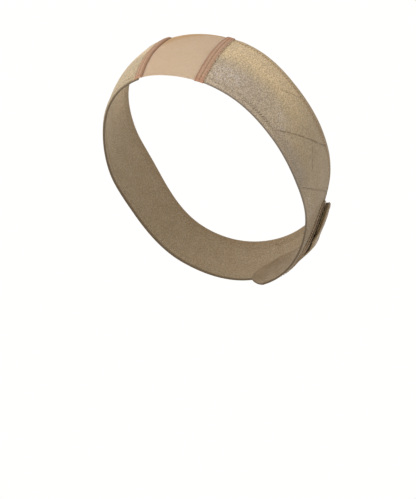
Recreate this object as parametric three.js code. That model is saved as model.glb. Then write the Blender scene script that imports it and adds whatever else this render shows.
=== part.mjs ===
// Wig grip band in the form it has when it is worn: a velour band with a sheer lace window at the
// forehead, a stitched tape over each joint and a hook-and-loop lap at the nape.
// Millimetres. +Z is up, -Y is the front, +X is the wearer's left. The origin is the middle of the head.
import * as THREE from "three";

// Driving sizes

// Reach of the head hollow from the origin, each way, and how round it is (2 is an ellipse).
const HEAD = { side: 78.5, front: 97, back: 101, crown: 83.5, base: 111.5 };
const ROUND_LEVEL = 2.07;
const ROUND_UPRIGHT = 2.18;

// The band's loop leans by this many degrees, high on the forehead and low at the nape.
const LOOP_TILT = 40;

// Where the cloth lies, by turn in degrees from the middle of the front (0) to the nape (180).
// lower_edge is that edge's climb above the plane of the leaning loop, in degrees. width is in mm.
const BAND_PATH = [
  { turn: 0, lower_edge: -17.0, width: 58.5 },
  { turn: 30, lower_edge: -18.5, width: 58.5 },
  { turn: 60, lower_edge: -22.0, width: 52 },
  { turn: 90, lower_edge: -23.5, width: 52 },
  { turn: 120, lower_edge: -21.0, width: 52 },
  { turn: 150, lower_edge: -22.0, width: 52 },
  { turn: 180, lower_edge: -22.0, width: 52 },
];

// Lengths of the flat pieces along the middle of the band.
const LACE_LENGTH = 53;
const LEFT_WING_LENGTH = 255;
const RIGHT_WING_LENGTH = 357;
const SEAM_LEAN = 2.5;
const GAP = 0.3;

// Thickness of each cloth, and the height off the head at which the lace starts.
const LACE_WALL = 1.0;
const LACE_BASE = 0.15;
const VELOUR_WALL = 1.4;
const PATCH_WALL = 1.0;

// Hem of a wing, from its edge inwards: height of the inner and the outer face off the head.
const HEM = [
  { from_edge: 0.0, inner: 0.7, outer: 1.3 },
  { from_edge: 0.6, inner: 0.2, outer: 1.9 },
  { from_edge: 1.5, inner: 0.0, outer: 2.1 },
  { from_edge: 5.5, inner: 0.0, outer: 2.1 },
  { from_edge: 6.6, inner: 0.0, outer: 1.4 },
];
const HEM_GROWS_OVER = 6;

// The near wing's upper hem is pressed flat again where the loop patch lies over it.
const UPPER_HEM_PRESSED = { from: 166, to: 174 };

// Seam tape, across its width from the lace side to the wing side. It has a stitched groove.
const TAPE = [
  { across: -3.3, base: 1.5, top: 2.0 },
  { across: -2.6, base: 1.6, top: 2.6 },
  { across: -0.6, base: 1.7, top: 2.7 },
  { across: 0.0, base: 1.7, top: 2.4 },
  { across: 0.6, base: 1.7, top: 2.7 },
  { across: 2.6, base: 1.7, top: 2.6 },
  { across: 3.3, base: 1.7, top: 2.1 },
];
const TAPE_PAST_LOWER = 0.8;
const TAPE_PAST_UPPER = 0.5;

// At the far seam the upper edge sits lower, and the lace's lower edge is drawn up.
const FAR_SEAM_DROP = 3.8;
const FAR_LACE_LIFT = 1.8;

// Creases pressed across the near wing: place along the band, how far the upper end leans on, depth.
const CREASES = [
  { along: 118, lean: 65, depth: 0.5 },
  { along: 168, lean: 48, depth: 0.5 },
];
const CREASE_HALF_WIDTH = 1.5;

// Lap at the nape: the far wing climbs over the near wing's end. Its lower hem is dropped a little,
// and its upper part comes down to the head past the near wing's edge.
const LAP_CLIMB_STARTS = 240;
const LAP_CLIMB_ENDS = 290;
const LAYER_GAP = 0.45;
const LAP_HEIGHT = VELOUR_WALL + 2 * PATCH_WALL + 3 * LAYER_GAP;
const LAP_LOWER_DROP = 1.5;
const LAP_UPPER_DROP = { from: 0.6, to: 1, drop: 2.8 };
const CORNER_CURL = 0.6;

// What comes off the lower and the upper edge of a cloth, by place along the band. Less than none
// adds to it. The far wing crosses the near one: it comes from higher up the nape and narrows to a strap.
const LEFT_EDGES = [
  { along: 40, lower_off: 0, upper_off: 0 },
  { along: 80, lower_off: 0, upper_off: -1.6 },
  { along: 120, lower_off: 0, upper_off: -2 },
  { along: 145, lower_off: 0, upper_off: -1.7 },
  { along: 160, lower_off: 0, upper_off: -0.4 },
  { along: 170, lower_off: 0, upper_off: 7 },
  { along: 182, lower_off: 0, upper_off: 14.5 },
  { along: 282, lower_off: 2, upper_off: 14 },
];
const RIGHT_EDGES = [
  { along: LACE_LENGTH / 2, lower_off: 0, upper_off: FAR_SEAM_DROP },
  { along: 80, lower_off: 0, upper_off: 0 },
  { along: 150, lower_off: 0, upper_off: 0 },
  { along: 230, lower_off: 6, upper_off: 4 },
  { along: 335, lower_off: 25, upper_off: -9.5 },
  { along: 383, lower_off: 13, upper_off: 2.8 },
];
const LACE_EDGES = [
  { along: -LACE_LENGTH / 2, lower_off: FAR_LACE_LIFT, upper_off: FAR_SEAM_DROP },
  { along: 0, lower_off: 0.4, upper_off: 0.8 },
  { along: LACE_LENGTH / 2, lower_off: 0, upper_off: 0 },
];

// Rounded end of a wing: share of the width where it reaches furthest, and how far its corners stay back.
const TONGUE = { apex: 0.48, lower_set_back: 18, upper_set_back: 19, shaped_over: 60 };

// Closure patches under the tongue: how far short of its end, how long, and which shares of its width.
const HOOK_PATCH = { short_of_end: 1, length: 32, lower: 0.12, upper: 0.88 };
const LOOP_PATCH = { short_of_end: -2, length: 39, lower: -0.1, upper: 0.62 };

// Steps of the facets.
const SECTION_STEP = 8;
const LACE_STEP = 4.4;
const MIDDLE_STEPS = 6;
const PLAIN_STEPS = 8;

// Form of the head hollow

const rad = THREE.MathUtils.degToRad;
const ease = THREE.MathUtils.smoothstep;

// 1 on the head's surface, in proportion inside and outside it.
function headLevel(p) {
  const x = Math.abs(p.x) / HEAD.side;
  const y = Math.abs(p.y) / (p.y < 0 ? HEAD.front : HEAD.back);
  const z = Math.abs(p.z) / (p.z > 0 ? HEAD.crown : HEAD.base);
  const level = (x ** ROUND_LEVEL + y ** ROUND_LEVEL) ** (ROUND_UPRIGHT / ROUND_LEVEL);
  return (level + z ** ROUND_UPRIGHT) ** (1 / ROUND_UPRIGHT);
}

function headNormal(p) {
  const h = 0.01;
  const slope = (axis) => {
    const step = new THREE.Vector3()[`set${axis}`](h);
    return headLevel(p.clone().add(step)) - headLevel(p.clone().sub(step));
  };
  return new THREE.Vector3(slope("X"), slope("Y"), slope("Z")).normalize();
}

function headPoint(turn, climb) {
  const out = Math.cos(rad(climb));
  const ahead = out * Math.cos(rad(turn));
  const rise = Math.sin(rad(climb));
  const c = Math.cos(rad(LOOP_TILT));
  const s = Math.sin(rad(LOOP_TILT));
  const p = new THREE.Vector3(out * Math.sin(rad(turn)), rise * s - ahead * c, rise * c + ahead * s);
  return p.divideScalar(headLevel(p));
}

// Flat cloth laid on the head

// Smooth value of one column of the band's path. The path is the same on both sides of the head.
function path(column, turn) {
  const folded = Math.abs(turn) > 180 ? 360 - Math.abs(turn) : Math.abs(turn);
  const last = BAND_PATH.length - 1;
  const step = BAND_PATH[1].turn;
  const i = Math.min(Math.floor(folded / step), last - 1);
  const value = (k) => BAND_PATH[k < 0 ? -k : k > last ? 2 * last - k : k][column];
  const [a, b, c, d] = [value(i - 1), value(i), value(i + 1), value(i + 2)];
  const t = folded / step - i;
  return b + 0.5 * t * (c - a + t * (2 * a - 5 * b + 4 * c - d + t * (3 * (b - c) + d - a)));
}

// Point of the head that is a given distance up from the band's lower edge.
function pointUp(turn, rise) {
  const steps = Math.max(1, Math.ceil(Math.abs(rise) / 2));
  let climb = path("lower_edge", turn);
  for (let i = 0; i < steps; i += 1) {
    const degree = headPoint(turn, climb - 0.5).distanceTo(headPoint(turn, climb + 0.5));
    climb += rise / steps / degree;
  }
  return headPoint(turn, climb);
}

// Length along the middle of the band for each whole degree of turn, and the turn at any length.
const LENGTHS = [0];
for (let turn = 1; turn <= 260; turn += 1) {
  const here = pointUp(turn, path("width", turn) / 2);
  const before = pointUp(turn - 1, path("width", turn - 1) / 2);
  LENGTHS.push(LENGTHS[turn - 1] + here.distanceTo(before));
}

function turnAt(along) {
  const reach = Math.abs(along);
  const i = LENGTHS.findIndex((length) => length > reach) - 1;
  const turn = i + (reach - LENGTHS[i]) / (LENGTHS[i + 1] - LENGTHS[i]);
  return Math.sign(along) * turn;
}

const widthAt = (along) => path("width", turnAt(along));

// Point of laid cloth: along the band from the middle of the front, up from its lower edge, off the head.
function clothPoint(along, rise, height) {
  const p = pointUp(turnAt(along), rise);
  return p.addScaledVector(headNormal(p), height);
}

// Solid through a row of sections. Each has an inner and an outer line with as many points.
function loft(sections) {
  const count = sections[0].inner.length;
  const ring = 2 * count;
  const points = sections.flatMap(({ inner, outer }) => [...inner, ...outer.slice().reverse()]);
  const faces = [];
  const quad = (a, b, c, d) => faces.push([a, b, c], [a, c, d]);
  for (let i = 0; i < sections.length - 1; i += 1) {
    for (let j = 0; j < ring; j += 1) {
      const k = (j + 1) % ring;
      quad(i * ring + j, i * ring + k, (i + 1) * ring + k, (i + 1) * ring + j);
    }
  }
  const end = (sections.length - 1) * ring;
  for (let j = 0; j < count - 1; j += 1) {
    quad(j + 1, j, ring - 1 - j, ring - 2 - j);
    quad(end + j, end + j + 1, end + ring - 2 - j, end + ring - 1 - j);
  }
  const volume = faces.reduce((sum, [a, b, c]) => (
    sum + points[a].dot(points[b].clone().cross(points[c]))), 0);
  const outward = volume < 0 ? faces.map(([a, b, c]) => [a, c, b]) : faces;
  const geometry = new THREE.BufferGeometry();
  const numbers = points.flatMap((p) => p.toArray());
  geometry.setAttribute("position", new THREE.Float32BufferAttribute(numbers, 3));
  geometry.setIndex(outward.flat());
  geometry.computeVertexNormals();
  return geometry;
}

// Even steps from one value to another, both ends included.
function steps(from, to, size) {
  const count = Math.max(1, Math.round((to - from) / size));
  return Array.from({ length: count + 1 }, (unused, i) => from + (to - from) * i / count);
}

// Wings

const SEAM = LACE_LENGTH / 2;
const WING_LEFT = {
  side: 1,
  start: SEAM + GAP,
  end: SEAM + LEFT_WING_LENGTH,
  edges: LEFT_EDGES,
  creases: CREASES,
  laps: false,
};
const WING_RIGHT = {
  side: -1,
  start: SEAM + GAP,
  end: SEAM + RIGHT_WING_LENGTH,
  edges: RIGHT_EDGES,
  creases: [],
  laps: true,
};

// Smooth value of a column between the rows of a table that is ordered along the band. It starts level.
function between(rows, column, along) {
  const last = rows.length - 1;
  const found = rows.findIndex((row) => row.along >= along);
  const i = found < 0 ? last : Math.max(1, found);
  const rate = (k) => {
    const [from, to] = [rows[Math.max(k - 1, 0)], rows[Math.min(k + 1, last)]];
    return k === 0 ? 0 : (to[column] - from[column]) / (to.along - from.along);
  };
  const span = rows[i].along - rows[i - 1].along;
  const t = THREE.MathUtils.clamp((along - rows[i - 1].along) / span, 0, 1);
  const shift = rows[i][column] - rows[i - 1][column];
  const bend = span * (rate(i - 1) * (1 - t) - rate(i) * t) - shift * (1 - 2 * t);
  return rows[i - 1][column] + t * (shift + (1 - t) * bend);
}

// How far a section's upper end leads its lower end, so that sections run along the creases.
function leanAt(wing, along) {
  const ends = [{ along: wing.start, lean: SEAM_LEAN }, { along: wing.end, lean: 0 }];
  return between([ends[0], ...wing.creases, ends[1]], "lean", along);
}

const wingWidth = (wing, along) => (
  widthAt(along) - between(wing.edges, "lower_off", along) - between(wing.edges, "upper_off", along));

// How far the rounding of a wing's end has come, and how far it sets back a point of a section.
const tongueAt = (wing, along) => ease(along, wing.end - TONGUE.shaped_over, wing.end);

function setBack(share) {
  return share < TONGUE.apex
    ? TONGUE.lower_set_back * (1 - share / TONGUE.apex) ** 2
    : TONGUE.upper_set_back * ((share - TONGUE.apex) / (1 - TONGUE.apex)) ** 2;
}

// Point of a wing's section, by its share of the width. Sections lean, and a rounded end sets them back.
function wingPoint(wing, along, share, height) {
  const place = along + leanAt(wing, along) * (share - 0.5) - tongueAt(wing, along) * setBack(share);
  const rise = between(wing.edges, "lower_off", along) + share * wingWidth(wing, along);
  return clothPoint(wing.side * place, rise * widthAt(place) / widthAt(along), height);
}

// Height off the head of the wing's inner face.
function heightAt(wing, along, share) {
  if (!wing.laps) return 0;
  const lower = LAP_LOWER_DROP * Math.max(0, 1 - 2 * share) ** 8;
  const upper = LAP_UPPER_DROP.drop * ease(share, LAP_UPPER_DROP.from, LAP_UPPER_DROP.to);
  const curl = CORNER_CURL * tongueAt(wing, along) * (1 - share) ** 1.5;
  return (LAP_HEIGHT - lower - upper) * ease(along, LAP_CLIMB_STARTS, LAP_CLIMB_ENDS) + curl;
}

// Rows across a wing: a hem, the plain middle and the other hem. A swell of none is a hem pressed flat.
function wingRows(width, lowerSwell, upperSwell) {
  const hem = (swell) => HEM.map((row) => {
    const outer = Math.min(row.outer, VELOUR_WALL) + swell * Math.max(0, row.outer - VELOUR_WALL);
    return { rise: row.from_edge, inner: row.inner, outer };
  });
  const depth = HEM[HEM.length - 1].from_edge;
  const middle = steps(depth, width - depth, (width - 2 * depth) / MIDDLE_STEPS).slice(1, -1);
  return [
    ...hem(lowerSwell),
    ...middle.map((rise) => ({ rise, inner: 0, outer: VELOUR_WALL })),
    ...hem(upperSwell).map((row) => ({ ...row, rise: width - row.rise })).reverse(),
  ];
}

function wingSection(wing, along, dip) {
  const width = wingWidth(wing, along);
  const pressed = wing.start + TAPE[TAPE.length - 1].across;
  const swell = ease(along, pressed, pressed + HEM_GROWS_OVER);
  const flat = wing.laps ? 0 : ease(along, UPPER_HEM_PRESSED.from, UPPER_HEM_PRESSED.to);
  const section = { inner: [], outer: [] };
  for (const row of wingRows(width, swell, swell * (1 - flat))) {
    const share = row.rise / width;
    const height = heightAt(wing, along, share);
    const outer = Math.max(row.inner + 0.5, row.outer - dip);
    section.inner.push(wingPoint(wing, along, share, height + row.inner));
    section.outer.push(wingPoint(wing, along, share, height + outer));
  }
  return section;
}

function wingGeometry(wing) {
  const stops = [wing.start, ...wing.creases.map((crease) => crease.along), wing.end];
  const sections = [];
  stops.slice(1).forEach((stop, i) => {
    const from = stops[i] + (i > 0 ? CREASE_HALF_WIDTH : 0);
    const to = stop - (i < wing.creases.length ? CREASE_HALF_WIDTH : 0);
    steps(from, to, SECTION_STEP).forEach((along) => sections.push(wingSection(wing, along, 0)));
    if (i < wing.creases.length) sections.push(wingSection(wing, stop, wing.creases[i].depth));
  });
  return loft(sections);
}

// Lace window

function laceGeometry() {
  const sections = steps(GAP - SEAM, SEAM - GAP, LACE_STEP).map((along) => {
    const section = { inner: [], outer: [] };
    for (const share of steps(0, 1, 1 / PLAIN_STEPS)) {
      const place = along + SEAM_LEAN * (share - 0.5) * along / SEAM;
      const lower = between(LACE_EDGES, "lower_off", along);
      const upper = widthAt(place) - between(LACE_EDGES, "upper_off", along);
      const rise = lower + share * (upper - lower);
      section.inner.push(clothPoint(place, rise, LACE_BASE));
      section.outer.push(clothPoint(place, rise, LACE_BASE + LACE_WALL));
    }
    return section;
  });
  return loft(sections);
}

// Seam tapes

function tapeGeometry(side) {
  const width = widthAt(SEAM);
  const top = width + TAPE_PAST_UPPER - (side < 0 ? FAR_SEAM_DROP : 0);
  const bottom = (side < 0 ? FAR_LACE_LIFT : 0) - TAPE_PAST_LOWER;
  const sections = steps(bottom, top, SECTION_STEP / 2).map((rise) => {
    const seam = SEAM + SEAM_LEAN * (rise / width - 0.5);
    return {
      inner: TAPE.map((row) => clothPoint(side * (seam + row.across), rise, row.base)),
      outer: TAPE.map((row) => clothPoint(side * (seam + row.across), rise, row.top)),
    };
  });
  return loft(sections);
}

// Closure patches, cut to the tongue's outline. pointAt lays a patch on its wing, by height off its base.
function patchGeometry(patch, pointAt) {
  const last = WING_RIGHT.end - patch.short_of_end;
  const sections = steps(last - patch.length, last, SECTION_STEP).map((along) => {
    const section = { inner: [], outer: [] };
    for (const share of steps(patch.lower, patch.upper, (patch.upper - patch.lower) / PLAIN_STEPS)) {
      section.inner.push(pointAt(along, share, 0));
      section.outer.push(pointAt(along, share, PATCH_WALL));
    }
    return section;
  });
  return loft(sections);
}

// The hook patch follows the strap. The loop patch runs straight back along the near wing.
function underTongue(along, share, height) {
  const base = heightAt(WING_RIGHT, along, share) - PATCH_WALL - LAYER_GAP;
  return wingPoint(WING_RIGHT, along, share, base + height);
}

function onNearWing(along, share, height) {
  const { lower_off: lower, upper_off: upper } = RIGHT_EDGES[RIGHT_EDGES.length - 1];
  const rise = lower + share * (widthAt(WING_RIGHT.end) - lower - upper);
  return clothPoint(setBack(share) - along, rise, VELOUR_WALL + LAYER_GAP + height);
}

// Pieces

function piece(name, geometry, colour, roughness) {
  const mesh = new THREE.Mesh(geometry, new THREE.MeshStandardMaterial({ color: colour, roughness }));
  mesh.name = name;
  return mesh;
}

const VELOUR_COLOUR = 0xb39d7a;
const LACE_COLOUR = 0xcbb094;
const TAPE_COLOUR = 0xa98468;
const LOOP_COLOUR = 0x8d7355;
const HOOK_COLOUR = 0x4b3c32;

const band = new THREE.Group();
band.name = "wig_grip_band";
band.add(
  piece("lace_window", laceGeometry(), LACE_COLOUR, 0.9),
  piece("seam_tape_left", tapeGeometry(1), TAPE_COLOUR, 0.85),
  piece("seam_tape_right", tapeGeometry(-1), TAPE_COLOUR, 0.85),
  piece("wing_left", wingGeometry(WING_LEFT), VELOUR_COLOUR, 0.8),
  piece("wing_right", wingGeometry(WING_RIGHT), VELOUR_COLOUR, 0.8),
  piece("loop_patch", patchGeometry(LOOP_PATCH, onNearWing), LOOP_COLOUR, 0.95),
  piece("hook_patch", patchGeometry(HOOK_PATCH, underTongue), HOOK_COLOUR, 0.7),
);

export default band;
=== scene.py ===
# %% [markdown]
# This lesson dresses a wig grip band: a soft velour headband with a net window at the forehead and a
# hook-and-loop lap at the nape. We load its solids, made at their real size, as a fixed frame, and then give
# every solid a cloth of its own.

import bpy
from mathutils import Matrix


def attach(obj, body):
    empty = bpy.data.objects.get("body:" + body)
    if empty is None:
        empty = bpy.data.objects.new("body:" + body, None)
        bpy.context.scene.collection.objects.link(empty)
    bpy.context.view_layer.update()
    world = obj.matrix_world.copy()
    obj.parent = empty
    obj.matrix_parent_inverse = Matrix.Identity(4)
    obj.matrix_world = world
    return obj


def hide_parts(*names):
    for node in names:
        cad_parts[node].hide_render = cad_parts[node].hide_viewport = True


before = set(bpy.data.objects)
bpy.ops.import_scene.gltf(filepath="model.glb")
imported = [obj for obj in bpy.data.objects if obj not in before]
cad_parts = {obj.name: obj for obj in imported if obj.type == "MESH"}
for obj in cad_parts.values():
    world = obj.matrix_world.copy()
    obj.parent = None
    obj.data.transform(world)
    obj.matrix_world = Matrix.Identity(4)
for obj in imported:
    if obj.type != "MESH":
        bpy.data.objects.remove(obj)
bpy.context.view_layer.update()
print("solids:", sorted(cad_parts))

# %% [markdown]
# Blender works in metres, but cloth is measured in millimetres, so one factor goes between them. The
# shapes are worked out with numpy, on whole grids of points at once.

# %% Bring in the libraries
import math

import bpy
import numpy as np
from mathutils import Matrix, Vector, noise

MM = 0.001
SCENE = bpy.context.scene

# %% [markdown]
# Shapes and tones come from short tables. Long lists of points would do too, but a few rows with a
# smooth curve through them are easier to read and to change. One helper names the values in each row,
# and another runs the curve.

# %% Helpers for tables and curves


def table(names, *rows):
    return [dict(zip(names.split(), row)) for row in rows]


def column(rows, name):
    return np.array([row[name] for row in rows], float)


def between(rows, name, place):
    """Smooth value of a column at a place, which is in the table's first column. It starts level."""
    at = column(rows, next(iter(rows[0])))
    value = column(rows, name)
    rate = np.zeros(len(rows))
    for k in range(1, len(rows)):
        last = min(k + 1, len(rows) - 1)
        rate[k] = (value[last] - value[k - 1]) / (at[last] - at[k - 1])
    i = np.clip(np.searchsorted(at, place), 1, len(rows) - 1)
    span = at[i] - at[i - 1]
    t = np.clip((place - at[i - 1]) / span, 0, 1)
    shift = value[i] - value[i - 1]
    bend = span * (rate[i - 1] * (1 - t) - rate[i] * t) - shift * (1 - 2 * t)
    return value[i - 1] + t * (shift + (1 - t) * bend)


def smooth(value, low, high):
    t = np.clip((value - low) / (high - low), 0, 1)
    return t * t * (3 - 2 * t)


def bell(value):
    """1 at 0, and falling to nothing on both sides."""
    return np.exp(-(value**2))


def unit(vectors):
    return vectors / np.linalg.norm(vectors, axis=-1, keepdims=True)


print("a quarter of the way along, a smooth step is at", float(smooth(0.25, 0, 1)))

# %% [markdown]
# In wear the band is stretched, and it keeps the form of the hollow inside it. That form could be
# sculpted, but every piece has to lie on it, so a formula is better: a rounded egg, in millimetres, with
# its own reach each way. The level is 1 on its surface, and the slope of the level points straight out.

# %% Form of the hollow
HOLLOW_SIDE = 78.5
HOLLOW_FRONT = 97.0
HOLLOW_BACK = 101.0
HOLLOW_CROWN = 83.5
HOLLOW_BASE = 111.5
ROUND_LEVEL = 2.07
ROUND_UPRIGHT = 2.18
SLOPE_STEP = 0.01


def hollow_level(p):
    x = np.abs(p[..., 0]) / HOLLOW_SIDE
    y = np.abs(p[..., 1]) / np.where(p[..., 1] < 0, HOLLOW_FRONT, HOLLOW_BACK)
    z = np.abs(p[..., 2]) / np.where(p[..., 2] > 0, HOLLOW_CROWN, HOLLOW_BASE)
    level = (x**ROUND_LEVEL + y**ROUND_LEVEL) ** (ROUND_UPRIGHT / ROUND_LEVEL)
    return (level + z**ROUND_UPRIGHT) ** (1 / ROUND_UPRIGHT)


def hollow_normal(p):
    slopes = [hollow_level(p + step) - hollow_level(p - step) for step in SLOPE_STEP * np.eye(3)]
    return unit(np.stack(slopes, axis=-1))


front = np.array([0.0, -1.0, 0.0])
print("reach of the hollow at the front:", round(1 / float(hollow_level(front)), 1), "mm")

# %% [markdown]
# The loop leans, high on the forehead and low at the nape. A curve object could guide it, but its width
# changes too. So a place on it has a turn round the leaning axis and a climb above the leaning plane, as
# on a tilted globe. The table gives the lower edge's climb and the band's width at a few turns.

# %% Path of the band round the hollow
LOOP_TILT = math.radians(40)
BAND_PATH = table(
    "turn lower_edge width",
    (0, -17.0, 58.5), (30, -18.5, 58.5), (60, -22.0, 52.0), (90, -23.5, 52.0),
    (120, -21.0, 52.0), (150, -22.0, 52.0), (180, -22.0, 52.0),
)


def hollow_point(turn, climb):
    out = np.cos(np.radians(climb))
    ahead = out * np.cos(np.radians(turn))
    rise = np.sin(np.radians(climb))
    c = math.cos(LOOP_TILT)
    s = math.sin(LOOP_TILT)
    p = np.stack([out * np.sin(np.radians(turn)), rise * s - ahead * c, rise * c + ahead * s], axis=-1)
    return p / hollow_level(p)[..., None]


def path(name, turn):
    """Value of a column at a turn, which may go on past the middle of the back."""
    turn = np.abs(turn)
    return between(BAND_PATH, name, np.where(turn > 180, 360 - turn, turn))


print("width of the band at the side:", round(float(path("width", np.array(75.0))), 1), "mm")

# %% [markdown]
# Cloth is easier to think of flat, so every piece is drawn on a flat map: along the band from the middle
# of the forehead, up from its lower edge, and off the hollow. A Shrinkwrap modifier could press flat
# meshes on, but it would stretch them unevenly. cloth_point lays each place of the map, in metres.

# %% Lay flat cloth on the hollow
CLIMB_STEPS = 30
WHOLE_TURNS = np.arange(0.0, 261.0)


def point_up(turn, rise):
    turn, rise = np.broadcast_arrays(np.asarray(turn, float), np.asarray(rise, float))
    climb = path("lower_edge", turn)
    for _ in range(CLIMB_STEPS):
        degree = hollow_point(turn, climb + 0.5) - hollow_point(turn, climb - 0.5)
        climb = climb + rise / CLIMB_STEPS / np.linalg.norm(degree, axis=-1)
    return hollow_point(turn, climb)


MIDDLE_LINE = point_up(WHOLE_TURNS, path("width", WHOLE_TURNS) / 2)
STRIDES = np.linalg.norm(np.diff(MIDDLE_LINE, axis=0), axis=1)
LENGTHS = np.concatenate([[0.0], np.cumsum(STRIDES)])
LOOP_LENGTH = 2 * LENGTHS[180]


def turn_at(along):
    return np.sign(along) * np.interp(np.abs(along), LENGTHS, WHOLE_TURNS)


def width_at(along):
    return path("width", turn_at(along))


def cloth_point(along, rise, height):
    p = point_up(turn_at(along), rise)
    return (p + hollow_normal(p) * np.asarray(height, float)[..., None]) * MM


print("length of the loop along its middle:", round(LOOP_LENGTH), "mm")

# %% [markdown]
# The camera comes before the cloth, so that each piece can be judged as it is made. It stands a little
# below the band on the wearer's left, far off, as a portrait lens does. A constraint could aim it, but
# three turns and one step along its own axes say it all.

# %% Camera at the picture's angle
VIEW_AZIMUTH = math.radians(27.39)
VIEW_ELEVATION = math.radians(-5.07)
VIEW_ROLL = math.radians(5.59)
VIEW_DISTANCE = 2.4
PICTURE_HEIGHT_PX = 499
PIXEL_M = 0.7399 * MM
ORIGIN_RIGHT_OF_MIDDLE = 7.08 * MM
ORIGIN_ABOVE_MIDDLE = 75.97 * MM

camera = bpy.data.objects.new("camera", bpy.data.cameras.new("camera"))
camera.data.lens = camera.data.sensor_width * VIEW_DISTANCE / (PICTURE_HEIGHT_PX * PIXEL_M)
camera.matrix_world = (
    Matrix.Rotation(VIEW_AZIMUTH, 4, "Z")
    @ Matrix.Rotation(math.pi / 2 - VIEW_ELEVATION, 4, "X")
    @ Matrix.Rotation(VIEW_ROLL, 4, "Z")
    @ Matrix.Translation((-ORIGIN_RIGHT_OF_MIDDLE, -ORIGIN_ABOVE_MIDDLE, VIEW_DISTANCE))
)
SCENE.collection.objects.link(camera)
SCENE.camera = camera
print("camera at", [round(v, 3) for v in camera.location], "with a lens of", round(camera.data.lens), "mm")

# %% [markdown]
# The sky and the materials are graphs of nodes. They could be wired by hand, but then each node takes a
# few lines. A small class adds a node, sets its plain inputs and links the others, so that a graph reads
# as a short list.

# %% Helper for graphs of nodes
SCREEN_GAMMA = 2.2


def linear(tone):
    """Colour for a shader from a tone that the eye reads, each part from 0 to 255. A socket is kept."""
    if isinstance(tone, bpy.types.NodeSocket):
        return tone
    return tuple((v / 255) ** SCREEN_GAMMA for v in tone) + (1.0,)


class Graph:
    """Short ways to add nodes to the graph of the sky or of a material."""

    def __init__(self, tree):
        self.tree = tree

    def feed(self, socket, value):
        """Link a value that is a socket, and set any other."""
        if isinstance(value, bpy.types.NodeSocket):
            self.tree.links.new(value, socket)
        else:
            socket.default_value = value

    def add(self, kind, inputs=None, **settings):
        made = self.tree.nodes.new("ShaderNode" + kind)
        for name, value in settings.items():
            setattr(made, name, value)
        for name, value in (inputs or {}).items():
            self.feed(made.inputs[name], value)
        return made

    def math(self, operation, *values):
        return self.add("Math", dict(enumerate(values)), operation=operation).outputs[0]

    def ramp(self, value, low, high, start=0.0, end=1.0):
        """Smooth change from start to end as the value goes from low to high."""
        inputs = {0: value, 1: low, 2: high, 3: start, 4: end}
        return self.add("MapRange", inputs, interpolation_type="SMOOTHSTEP").outputs[0]

    def mixed(self, share, first, second):
        """Colour that goes from the first to the second by a share."""
        inputs = {0: share, 6: linear(first), 7: linear(second)}
        return self.add("Mix", inputs, data_type="RGBA").outputs[2]

    def brightened(self, tone, value):
        return self.add("HueSaturation", {"Value": value, "Color": tone}).outputs[0]

    def spot(self):
        return self.add("TexCoord").outputs["Object"]

    def kept(self, name):
        """Number that a piece's mesh keeps at each point, by its name."""
        return self.add("Attribute", attribute_name=name).outputs["Fac"]

    def speckle(self, size_mm, detail):
        """Noise in the band's own space, from about 0 to 1, with specks of about that size."""
        inputs = {"Vector": self.spot(), "Scale": 1 / (size_mm * MM), "Detail": detail}
        return self.add("TexNoise", inputs).outputs["Fac"]

    def fleck(self, size_mm, detail, low, high, start=0.0, end=1.0):
        """The same noise, with its values from low to high spread from start to end."""
        return self.ramp(self.speckle(size_mm, detail), low, high, start, end)

    def layered(self, tone, layers):
        """A tone with others laid over it, each where all its kept numbers are in their spans."""
        for layer in layers:
            amount = layer["most"]
            for name, low, high in layer["where"]:
                amount = self.math("MULTIPLY", amount, self.ramp(self.kept(name), low, high))
            tone = self.mixed(amount, tone, layer["tone"])
        return tone


print("mid grey for a shader:", round(linear((128, 128, 128))[0], 3))

# %% [markdown]
# The light is that of a white studio. Many lamps could make it. Here the sky is the soft light: white
# over most of the room and dimmer high on the wearer's left, so that the band's side falls off gently.
# One wide lamp in front and above models the folds.

# %% Studio: sky and lamp
SKY_BRIGHT = 1.02
SKY_DIM = 0.31
SKY_TINT = (1.0, 0.99, 0.975, 1.0)
DIM_TO_THE_LEFT = (-0.3, 0.9)
HORIZON_BRIGHT = (0.12, 0.3)
KEY_WATTS = 7.0
KEY_SIZE = 0.9
KEY_PLACE = Vector((-0.35, -1.35, 0.95))

SCENE.world = bpy.data.worlds.new("studio")
SCENE.world.use_nodes = True
sky = Graph(SCENE.world.node_tree)
background = sky.tree.nodes["Background"].inputs
way = sky.add("SeparateXYZ", {0: sky.add("TexCoord").outputs["Generated"]}).outputs
overhead = sky.ramp(way["X"], *DIM_TO_THE_LEFT, SKY_BRIGHT, SKY_DIM)
sky.feed(background["Color"], SKY_TINT)
sky.feed(background["Strength"], sky.ramp(way["Z"], *HORIZON_BRIGHT, SKY_BRIGHT, overhead))

key = bpy.data.objects.new("key_lamp", bpy.data.lights.new("key_lamp", "AREA"))
key.data.energy = KEY_WATTS
key.data.size = KEY_SIZE
key.location = KEY_PLACE
key.rotation_mode = "QUATERNION"
key.rotation_quaternion = (-KEY_PLACE).to_track_quat("-Z", "Y")
SCENE.collection.objects.link(key)
SCENE.view_settings.view_transform = "Standard"
print("sky from", SKY_DIM, "to", SKY_BRIGHT, "and a lamp of", KEY_WATTS, "W")

# %% [markdown]
# Every finish here starts from the usual Principled shader, whose plain inputs are set on the shader
# itself. Each could be built from nothing, but they share so much that one class holds it: a new
# material, its graph and its last step, the tone and a fine bump.

# %% Helper for finishes
SPECULAR = 0.25


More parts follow.
